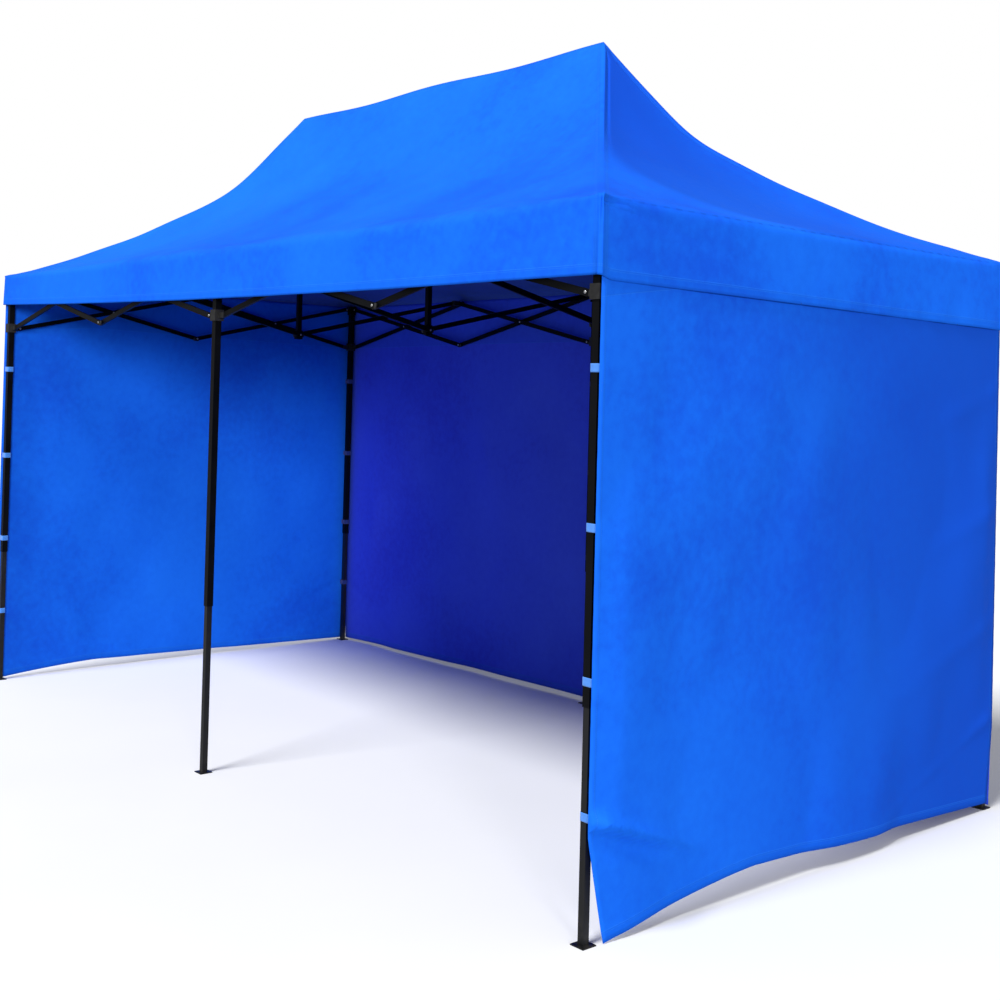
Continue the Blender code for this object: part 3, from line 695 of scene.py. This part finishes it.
def make_bar_fittings():
    """A plug in each end of every bar, and a domed rivet on both faces at its pivots."""
    head = turned(RIVET, RIVET_SIDES)
    for node in sorted(NODE):
        if "_bar_" not in node:
            continue
        low, high = (np.array(corner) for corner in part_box(node))
        vertices = vertices_of(node)
        middle, direction, normal = bar_frame(vertices)
        thin = int(np.argmax(normal))
        middle[thin] = tube_plane(vertices[:, thin])
        long_axis = int(np.argmax(np.abs(direction)))
        half = (high[long_axis] - low[long_axis]) / 2
        half = (half - BAR_WIDTH / 2 * abs(direction[2])) / abs(direction[long_axis])
        pivot = half - BAR_END
        parts = []
        for sign in (-1, 1):
            end = middle + direction * half * sign
            width, thickness = BAR_WIDTH - PLUG_INSET, BAR_THICKNESS - PLUG_INSET
            points, faces = plug(direction * sign, normal, width, thickness, PLUG_LENGTH)
            parts.append((points + end + direction * sign * PLUG_GAP, faces, 0, True))
        places = (-pivot, pivot) if node.startswith("cross") else (-pivot, 0.0, pivot)
        for place in places:
            for sign in (-1, 1):
                tip = extent_at(vertices, middle + direction * place, thin, sign)
                if tip is None:
                    continue
                origin = (middle + direction * place).copy()
                origin[thin] = tip + sign * RIVET_GAP
                points, faces = placed(head, origin, normal * sign)
                parts.append((points, faces, 1, True))
        fittings = joined("fittings_" + node, parts)
        fix_normals(fittings)
        fittings.data.materials.append(plastic)
        fittings.data.materials.append(bright_steel)
        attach(fittings, node)


def tube_plane(level):
    """The middle plane of a bar's tube among its vertices' levels, whatever pins stand out of it."""
    values, counts = np.unique(np.round(level, 4), return_counts=True)
    found = []
    for i in range(len(values)):
        for j in range(i + 1, len(values)):
            if abs(values[j] - values[i] - BAR_THICKNESS) < 0.0003:
                found.append((counts[i] + counts[j], values[i], values[j]))
    best = max(found, key=lambda pair: pair[0])
    return (best[1] + best[2]) / 2


def extent_at(points, place, thin, sign):
    """How far a bar's solid stands out at a place, on one side, from its vertices near there."""
    off = points - place
    off[:, thin] = 0
    near = np.linalg.norm(off, axis=1) < RIVET_REACH
    if not near.any():
        return None
    level = points[near][:, thin]
    tip = level.max() if sign > 0 else level.min()
    reach = abs(tip - place[thin])
    return tip if reach < BAR_THICKNESS * 0.55 or reach > BAR_THICKNESS * 0.6 else None


# ---------------------------------------------------------------- materials

class Nodes:
    """A short way to lay out a material's nodes."""

    def __init__(self, name):
        self.material = bpy.data.materials.new(name)
        self.material.use_nodes = True
        self.tree = self.material.node_tree
        self.shader = self.tree.nodes["Principled BSDF"]

    def node(self, kind, inputs=None, **settings):
        made = self.tree.nodes.new(kind)
        for key, value in settings.items():
            setattr(made, key, value)
        for key, value in (inputs or {}).items():
            if isinstance(value, bpy.types.NodeSocket):
                self.tree.links.new(value, made.inputs[key])
            else:
                made.inputs[key].default_value = value
        return made

    def math(self, operation, a, b=0.0, clamp=False):
        return self.node("ShaderNodeMath", {0: a, 1: b}, operation=operation, use_clamp=clamp).outputs[0]

    def noise(self, vector, scale, detail=3.0, rough=0.5):
        inputs = {"Vector": vector, "Scale": scale, "Detail": detail, "Roughness": rough}
        return self.node("ShaderNodeTexNoise", inputs).outputs["Fac"]

    def ramp(self, value, stops):
        made = self.node("ShaderNodeValToRGB", {"Fac": value})
        elements = made.color_ramp.elements
        while len(elements) < len(stops):
            elements.new(0.5)
        for element, (place, color) in zip(elements, stops):
            element.position = place
            element.color = (*color, 1.0) if len(color) == 3 else color
        return made.outputs["Color"]

    def remap(self, value, low, high, to_low, to_high):
        inputs = {"Value": value, "From Min": low, "From Max": high, "To Min": to_low, "To Max": to_high}
        return self.node("ShaderNodeMapRange", inputs).outputs["Result"]

    def attribute(self, name):
        return self.node("ShaderNodeAttribute", attribute_name=name).outputs["Fac"]

    def thread(self, value, place):
        """1 on the line where the value is at place, and 0 a thread's width away."""
        off = self.math("ABSOLUTE", self.math("SUBTRACT", value, place))
        return self.remap(off, *THREAD_EDGE, 1.0, 0.0)

    def dashes(self, value):
        """1 on each stitch and 0 in the gap after it, along a value in metres."""
        wave = self.math("SINE", self.math("MULTIPLY", value, 2 * math.pi / STITCH))
        return self.math("GREATER_THAN", wave, STITCH_LEVEL)

    def mix(self, share, first, second):
        inputs = {0: share, 6: first, 7: second}
        return self.node("ShaderNodeMix", inputs, data_type="RGBA").outputs[2]

    def shade(self, **inputs):
        for key, value in inputs.items():
            socket = self.shader.inputs[key.replace("_", " ").title().replace("Ior", "IOR")]
            if isinstance(value, bpy.types.NodeSocket):
                self.tree.links.new(value, socket)
            else:
                socket.default_value = value

    def bump(self, height, strength, distance, normal=None):
        inputs = {"Height": height, "Strength": strength, "Distance": distance}
        if normal is not None:
            inputs["Normal"] = normal
        return self.node("ShaderNodeBump", inputs).outputs["Normal"]


OUTSIDE = ((0.0080, 0.098, 0.760), (0.0090, 0.143, 0.880), (0.0110, 0.168, 0.940))
# Painted shade: a violet copy of the cloth for the back wall's inside face.
BACK_INSIDE_PAINTED_SHADE = ((0.040, 0.066, 0.80), (0.048, 0.094, 0.92), (0.056, 0.112, 0.96))
# Painted shade: a darker copy of the cloth for the canopy's underside.
ROOF_UNDERSIDE_PAINTED_SHADE = ((0.030, 0.070, 0.36), (0.036, 0.085, 0.42), (0.040, 0.094, 0.46))
SEAM_SHADOW = (0.004, 0.040, 0.300, 1.0)
# Painted shade: a darker blue for the end slopes and the right wall's far end.
PAINTED_SHADE_TONE = (0.0070, 0.070, 0.560, 1.0)
# Painted highlight along the hip seams of the end slopes.
HIP_HIGHLIGHT_TONE = (0.050, 0.300, 1.0, 1.0)
THREAD_TONE = (0.030, 0.230, 0.95, 1.0)
DOUBLED_TONE = (0.006, 0.10, 0.62, 1.0)
WEAVE_PITCH, RIB_PITCH, STITCH = 0.0016, 0.0024, 0.006
STITCH_LEVEL = -0.35
THREAD_EDGE = (0.0007, 0.0016)


def cloth_material(name, seams, tones):
    """Coated polyester oxford cloth: a fine square weave, faint broad shade, seams sewn with two rows of
    stitches, and a double hem. The weave and the seams read the cloth's own map in metres."""
    m = Nodes(name)
    uv = m.node("ShaderNodeUVMap", uv_map="cloth").outputs["UV"]
    xyz = m.node("ShaderNodeSeparateXYZ", {0: uv})
    u, v = xyz.outputs[0], xyz.outputs[1]
    place = m.node("ShaderNodeTexCoord").outputs["Object"]
    broad = m.noise(place, 1.1, 3.0, 0.55)
    fine = m.noise(place, 26.0, 4.0, 0.6)
    pitch = 2 * math.pi / WEAVE_PITCH
    warp = m.math("SINE", m.math("MULTIPLY", u, pitch))
    weft = m.math("SINE", m.math("MULTIPLY", v, pitch))
    weave = m.math("ADD", m.math("MULTIPLY", warp, 0.5), m.math("MULTIPLY", weft, 0.5))
    shade = m.math("ADD", m.math("MULTIPLY", broad, 0.7), m.math("MULTIPLY", fine, 0.3))
    color = m.ramp(shade, list(zip((0.34, 0.50, 0.66), tones)))
    hem, second = m.thread(v, HEM_BAND), m.thread(v, HEM_BAND - 0.006)
    dash_u, dash_v = m.dashes(u), m.dashes(v)
    stitches = m.math("MULTIPLY", m.math("MAXIMUM", hem, second), dash_u)
    band = m.remap(v, HEM_BAND - 0.0012, HEM_BAND + 0.0012, 1.0, 0.0)
    if seams == "roof":
        hip = m.attribute("hip")
        rows = m.math("MAXIMUM", m.thread(hip, 0.010), m.thread(hip, 0.017))
        stitches = m.math("MAXIMUM", stitches, m.math("MULTIPLY", rows, dash_v))
        band = m.math("MAXIMUM", band, m.remap(hip, 0.0185, 0.0205, 1.0, 0.0))
        color = roof_tones(m, color, u, hip)
    else:
        edge, shade = m.attribute("edge"), m.attribute("shade")
        # Painted shade: darker cloth towards the wall's far end, from the shade attribute.
        color = m.mix(shade, color, PAINTED_SHADE_TONE)
        stitches = m.math("MAXIMUM", stitches, m.math("MULTIPLY", m.thread(edge, 0.022), dash_v))
        header = m.math("MULTIPLY", m.thread(v, HEADER_SEAM), dash_u)
        stitches = m.math("MAXIMUM", stitches, header)
        band = m.math("MAXIMUM", band, m.remap(v, HEADER_SEAM - 0.001, HEADER_SEAM + 0.001, 0.0, 1.0))
        band = m.math("MAXIMUM", band, m.remap(edge, 0.0235, 0.0255, 1.0, 0.0))
    thread = m.mix(m.math("MULTIPLY", stitches, 0.55), color, THREAD_TONE)
    doubled = m.mix(m.math("MULTIPLY", band, 0.22), thread, DOUBLED_TONE)
    height = m.math("ADD", m.math("MULTIPLY", weave, 0.00006), m.math("MULTIPLY", band, 0.0006))
    height = m.math("ADD", height, m.math("MULTIPLY", stitches, -0.0005))
    height = m.math("ADD", height, m.math("MULTIPLY", fine, 0.0009))
    normal = m.bump(height, 0.65, 1.0)
    rough = m.remap(fine, 0.3, 0.7, 0.56, 0.72)
    m.shade(base_color=doubled, roughness=rough, normal=normal)
    m.shader.inputs["Sheen Weight"].default_value = 0.02
    m.shader.inputs["Sheen Roughness"].default_value = 0.5
    m.shader.inputs["Sheen Tint"].default_value = (0.05, 0.25, 1.0, 1.0)
    m.shader.inputs["Specular IOR Level"].default_value = 0.02
    return m.material


def roof_tones(m, color, u, hip):
    """The canopy's painted light and shade: painted shade behind a soft line on the end slopes, a painted
    highlight along the end slopes' hip seams, and a painted shadow on the stitch line where the end
    slopes meet the valance, broken into gathers."""
    eave, end, shade = m.attribute("eave"), m.attribute("end"), m.attribute("shade")
    # Painted shade: the shade attribute darkens the end slopes towards a deeper blue.
    painted_shade = m.mix(shade, color, PAINTED_SHADE_TONE)
    on_roof = m.math("GREATER_THAN", eave, 0.05)
    # Painted highlight: a paler line along the hip seams of the end slopes.
    hip_highlight = m.math("MULTIPLY", m.remap(hip, 0.0025, 0.0045, 1.0, 0.0), m.math("MULTIPLY", on_roof, end))
    highlighted = m.mix(m.math("MULTIPLY", hip_highlight, 0.5), painted_shade, HIP_HIGHLIGHT_TONE)
    gathers = m.remap(m.math("SINE", m.math("MULTIPLY", u, 2 * math.pi / GATHER)), -0.4, 0.5, 0.35, 1.0)
    line = m.remap(m.math("ABSOLUTE", eave), 0.0040, 0.0090, 1.0, 0.0)
    fade = m.math("MULTIPLY", m.math("MULTIPLY", line, end), gathers)
    return m.mix(m.math("MULTIPLY", fade, 0.35), highlighted, SEAM_SHADOW)


def webbing_material(name, worn, fresh):
    """Blue hook-and-loop webbing: ribs across its width and a fuzzy fine grain."""
    m = Nodes(name)
    place = m.node("ShaderNodeTexCoord").outputs["Object"]
    xyz = m.node("ShaderNodeSeparateXYZ", {0: place})
    ribs = m.math("SINE", m.math("MULTIPLY", xyz.outputs[2], 2 * math.pi / RIB_PITCH))
    fuzz = m.noise(place, 900.0, 3.0, 0.7)
    wear = m.noise(place, 60.0, 3.0, 0.6)
    color = m.ramp(m.math("ADD", m.math("MULTIPLY", fuzz, 0.5), m.math("MULTIPLY", wear, 0.5)),
                   [(0.3, worn), (0.7, fresh)])
    height = m.math("ADD", m.math("MULTIPLY", ribs, 0.0002), m.math("MULTIPLY", fuzz, 0.0004))
    m.shade(base_color=color, roughness=0.85, normal=m.bump(height, 0.8, 1.0))
    m.shader.inputs["Sheen Weight"].default_value = 0.3
    return m.material


def paint_material():
    """Black powder coat on steel tube: an orange-peel grain, dust in broad patches and fine scuffs that
    run up and down the tubes."""
    m = Nodes("powder_coat")
    place = m.node("ShaderNodeTexCoord").outputs["Object"]
    grain = m.noise(place, 420.0, 3.0, 0.55)
    dust = m.noise(place, 5.0, 4.0, 0.6)
    stretched = m.node("ShaderNodeMapping", {"Vector": place, "Scale": (160.0, 160.0, 4.0)}).outputs[0]
    scuff = m.remap(m.noise(stretched, 1.0, 5.0, 0.7), 0.66, 0.74, 0.0, 1.0)
    base = m.ramp(dust, [(0.3, (0.0016, 0.0018, 0.0026)), (0.7, (0.0034, 0.0038, 0.0052))])
    color = m.mix(m.math("MULTIPLY", scuff, 0.35), base, (0.014, 0.015, 0.018, 1.0))
    rough = m.remap(dust, 0.3, 0.7, 0.36, 0.52)
    height = m.math("ADD", m.math("MULTIPLY", grain, 0.00022), m.math("MULTIPLY", scuff, -0.0001))
    m.shade(base_color=color, roughness=rough, normal=m.bump(height, 0.5, 1.0))
    m.shader.inputs["Specular IOR Level"].default_value = 0.10
    return m.material


def plastic_material():
    """Moulded black nylon with a fine spark-eroded grain and paler rubbed patches."""
    m = Nodes("moulded_nylon")
    place = m.node("ShaderNodeTexCoord").outputs["Object"]
    grain = m.noise(place, 700.0, 2.0, 0.6)
    rubbed = m.noise(place, 38.0, 4.0, 0.65)
    color = m.ramp(rubbed, [(0.35, (0.0050, 0.0050, 0.0056)), (0.75, (0.0130, 0.0130, 0.0140))])
    rough = m.remap(rubbed, 0.3, 0.7, 0.48, 0.66)
    m.shade(base_color=color, roughness=rough, normal=m.bump(m.math("MULTIPLY", grain, 0.0002), 0.5, 1.0))
    return m.material


def steel_material():
    """Bright zinc-plated rivet heads with a little tarnish."""
    m = Nodes("zinc_plate")
    place = m.node("ShaderNodeTexCoord").outputs["Object"]
    tarnish = m.noise(place, 90.0, 4.0, 0.6)
    color = m.ramp(tarnish, [(0.35, (0.30, 0.30, 0.31)), (0.70, (0.62, 0.62, 0.63))])
    rough = m.remap(tarnish, 0.3, 0.7, 0.24, 0.42)
    m.shade(base_color=color, roughness=rough, normal=m.bump(m.math("MULTIPLY", tarnish, 0.0003), 0.4, 1.0))
    m.shader.inputs["Metallic"].default_value = 1.0
    return m.material


def foot_material():
    """Lower legs: the same black coat, scraped round the foot and dusty near the ground."""
    m = Nodes("foot_coat")
    place = m.node("ShaderNodeTexCoord").outputs["Object"]
    xyz = m.node("ShaderNodeSeparateXYZ", {0: place})
    grain = m.noise(place, 420.0, 3.0, 0.55)
    dust = m.noise(place, 24.0, 5.0, 0.65)
    near_ground = m.remap(xyz.outputs[2], 0.0, 0.10, 1.0, 0.0)
    stretched = m.node("ShaderNodeMapping", {"Vector": place, "Scale": (180.0, 180.0, 3.0)}).outputs[0]
    slide = m.remap(m.noise(stretched, 1.0, 4.0, 0.7), 0.62, 0.74, 0.0, 1.0)
    dirty = m.math("MULTIPLY", near_ground, m.remap(dust, 0.42, 0.62, 0.0, 1.0))
    base = m.ramp(dust, [(0.3, (0.0020, 0.0022, 0.0030)), (0.7, (0.0042, 0.0046, 0.0060))])
    scraped = m.mix(m.math("MULTIPLY", slide, 0.4), base, (0.018, 0.018, 0.021, 1.0))
    color = m.mix(m.math("MULTIPLY", dirty, 0.25), scraped, (0.10, 0.090, 0.075, 1.0))
    rough = m.remap(dust, 0.3, 0.7, 0.38, 0.58)
    m.shade(base_color=color, roughness=rough, normal=m.bump(m.math("MULTIPLY", grain, 0.00022), 0.5, 1.0))
    return m.material


def finish_frame():
    """The frame's own solids keep their shapes and take the detailed finishes."""
    paint, foot = paint_material(), foot_material()
    slots = {entry["node"]: entry["material_slot"] for entry in frame["record"]["subparts"]}
    finishes = {"frame_paint": paint, "foot_paint": foot, "casting": plastic}
    for node, obj in NODE.items():
        material = finishes.get(slots.get(node))
        if material:
            obj.data.materials.clear()
            obj.data.materials.append(material)


# ---------------------------------------------------------------- camera, light and floor

DOME = 0.30
FLOOR_BOUNCE = 0.40
FLOOR_HALF = 60.0
CAMERA_PLACE = (5.367, -4.203, 1.686)
CAMERA_TURNS = (-48.796, 0.931, 1.513)
CAMERA_SHIFT = -0.12
LENS = 48.34


def make_camera():
    """The eye stands outside the right end of the open front, at about a person's eye height."""
    yaw, pitch, roll = (math.radians(angle) for angle in CAMERA_TURNS)
    forward = Vector((math.sin(yaw) * math.cos(pitch), math.cos(yaw) * math.cos(pitch), math.sin(pitch)))
    level = Vector((math.cos(yaw), -math.sin(yaw), 0.0))
    upward = level.cross(forward)
    right = level * math.cos(roll) + upward * math.sin(roll)
    top = upward * math.cos(roll) - level * math.sin(roll)
    data = bpy.data.cameras.new("camera")
    data.sensor_width = 36.0
    data.lens = LENS
    data.shift_y = CAMERA_SHIFT
    camera = bpy.data.objects.new("camera", data)
    bpy.context.scene.collection.objects.link(camera)
    turn = Matrix((right, top, -forward)).transposed().to_4x4()
    camera.matrix_world = Matrix.Translation(CAMERA_PLACE) @ turn
    bpy.context.scene.camera = camera


def add_sun(name, toward, strength, spread, color):
    """A broad far light. toward points from the gazebo to the light."""
    data = bpy.data.lights.new(name, "SUN")
    data.energy = strength
    data.angle = math.radians(spread)
    data.color = color
    lamp = bpy.data.objects.new(name, data)
    bpy.context.scene.collection.objects.link(lamp)
    lamp.rotation_euler = Vector(toward).to_track_quat("Z", "Y").to_euler()


def make_world():
    """A white studio: the backdrop shows white, and its light on the object is softer."""
    world = bpy.data.worlds.new("studio")
    bpy.context.scene.world = world
    world.use_nodes = True
    tree = world.node_tree
    soft = tree.nodes["Background"]
    soft.inputs["Color"].default_value = (1.0, 1.0, 1.0, 1.0)
    soft.inputs["Strength"].default_value = DOME
    white = tree.nodes.new("ShaderNodeBackground")
    white.inputs["Color"].default_value = (1.0, 1.0, 1.0, 1.0)
    path = tree.nodes.new("ShaderNodeLightPath")
    mix = tree.nodes.new("ShaderNodeMixShader")
    tree.links.new(path.outputs["Is Camera Ray"], mix.inputs[0])
    tree.links.new(soft.outputs[0], mix.inputs[1])
    tree.links.new(white.outputs[0], mix.inputs[2])
    tree.links.new(mix.outputs[0], tree.nodes["World Output"].inputs["Surface"])


def make_stage():
    """A pale floor under a white studio dome, a broad key light that comes in low from the right of
    the open front, and a high soft light from the front."""
    far = FLOOR_HALF
    mesh = bpy.data.meshes.new("floor")
    mesh.from_pydata([(-far, -far, 0), (far, -far, 0), (far, far, 0), (-far, far, 0)], [], [(0, 1, 2, 3)])
    floor = new_object("floor", mesh)
    m = Nodes("floor_paint")
    place = m.node("ShaderNodeTexCoord").outputs["Object"]
    grey = m.ramp(m.noise(place, 0.8, 3.0, 0.5), [(0.3, (0.96, 0.96, 0.96)), (0.7, (0.99, 0.99, 0.99))])
    seen = m.node("ShaderNodeLightPath").outputs["Is Camera Ray"]
    dim = (FLOOR_BOUNCE, FLOOR_BOUNCE, FLOOR_BOUNCE, 1.0)
    shown = m.mix(seen, dim, grey)
    m.shade(base_color=shown, roughness=0.9)
    m.shader.inputs["Specular IOR Level"].default_value = 0.0
    mesh.materials.append(m.material)
    make_world()
    add_sun("key", (0.90, -0.47, 0.11), 1.9, 12.0, (1.0, 0.99, 0.97))
    add_sun("front_top", (0.10, -0.85, 1.0), 3.1, 20.0, (0.98, 0.99, 1.0))
    bpy.context.scene.view_settings.view_transform = "Standard"


plastic = plastic_material()
bright_steel = steel_material()
make_camera()
make_canopy()
make_walls()
make_straps()
make_bar_fittings()
finish_frame()
make_stage()
